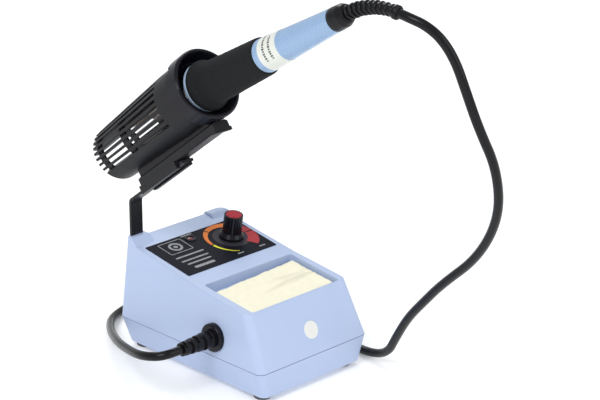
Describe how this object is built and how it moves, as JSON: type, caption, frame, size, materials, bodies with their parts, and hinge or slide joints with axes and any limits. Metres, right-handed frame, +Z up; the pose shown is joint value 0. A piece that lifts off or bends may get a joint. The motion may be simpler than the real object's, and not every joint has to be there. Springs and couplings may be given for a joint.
{
  "type": "soldering iron station",
  "caption": "Bench soldering station: sloped blue control box with heat knob, sponge recess and a steel arm carrying a slotted holder, with the pencil iron and its cord in place.",
  "frame": {"origin": "on the table under the middle of the control box", "axes": "+Z up, -Y towards the front of the box (sponge end), +X to the right seen from the front"},
  "size_m": [0.1689, 0.3374, 0.2885],
  "materials": {
    "blue_housing": "fine moulded texture",
    "blue_handle": "smooth moulded",
    "rubber_black": "matte",
    "foam_black": "fine closed cell foam",
    "cord_black": "smooth flexible jacket",
    "black_plastic": "satin",
    "knob_black": "satin",
    "knob_red": "satin",
    "label_black": "printed film",
    "label_ink": "printed",
    "dial_ink": "printed, yellow to red",
    "white_film": "smooth",
    "sponge": "cellulose sponge",
    "black_steel": "painted",
    "bright_steel": "machined",
    "copper_tip": "plated",
    "aluminium": "extruded",
    "brass": "plated",
    "board": "phenolic laminate",
    "component": "moulded",
    "terminal": "moulded",
    "glass": "clear",
    "light_lens": "translucent"
  },
  "bodies": {
    "station": {"lower_shell": "blue_housing", "upper_shell": "blue_housing", "rubber_feet": "rubber_black", "case_screws": "bright_steel", "face_label": "label_black", "dial_segments": "dial_ink", "label_marks": "label_ink", "led_bezel": "knob_black", "power_light": "light_lens", "round_sticker": "white_film", "pot_body": "bright_steel", "pot_nut": "bright_steel", "circuit_board": "board", "board_screws": "bright_steel", "triac": "black_plastic", "heat_sink": "aluminium", "capacitor": "component", "choke": "component", "fuse": "glass", "fuse_clips": "brass", "terminal_block": "terminal", "gland_flange": "black_plastic", "strain_relief": "rubber_black", "mains_gland": "rubber_black", "holder_arm": "black_steel", "holder_cage": "black_plastic", "funnel_ring": "black_plastic", "cord_lower_run": "cord_black"},
    "knob": {"knob": "knob_black", "knob_cap": "knob_red", "pointer_line": "white_film", "pot_shaft": "aluminium"},
    "sponge": {"sponge": "sponge"},
    "iron": {"iron_handle": "blue_handle", "guard_flange": "blue_handle", "foam_grip": "foam_black", "rating_band": "white_film", "boot_cap": "rubber_black", "cord_boot": "rubber_black", "iron_barrel": "bright_steel", "heating_element": "white_film", "iron_tip": "copper_tip", "tip_screw": "bright_steel", "cord_upper_run": "cord_black"}
  },
  "joints": [
    {"name": "knob_turn", "type": "hinge", "parent": "station", "child": "knob", "pos_m": [0.0205, 0.03243, 0.07123], "axis": [0, -0.1635, 0.9865], "range_deg": [-288, 17]},
    {"name": "sponge_lift", "type": "slide", "parent": "station", "child": "sponge", "axis": [0, -0.1184, 0.993], "range_m": [0, 0.03]},
    {"name": "iron_draw", "type": "slide", "parent": "station", "child": "iron", "axis": [0, -0.8643, 0.503], "range_m": [0, 0.13]}
  ]
}
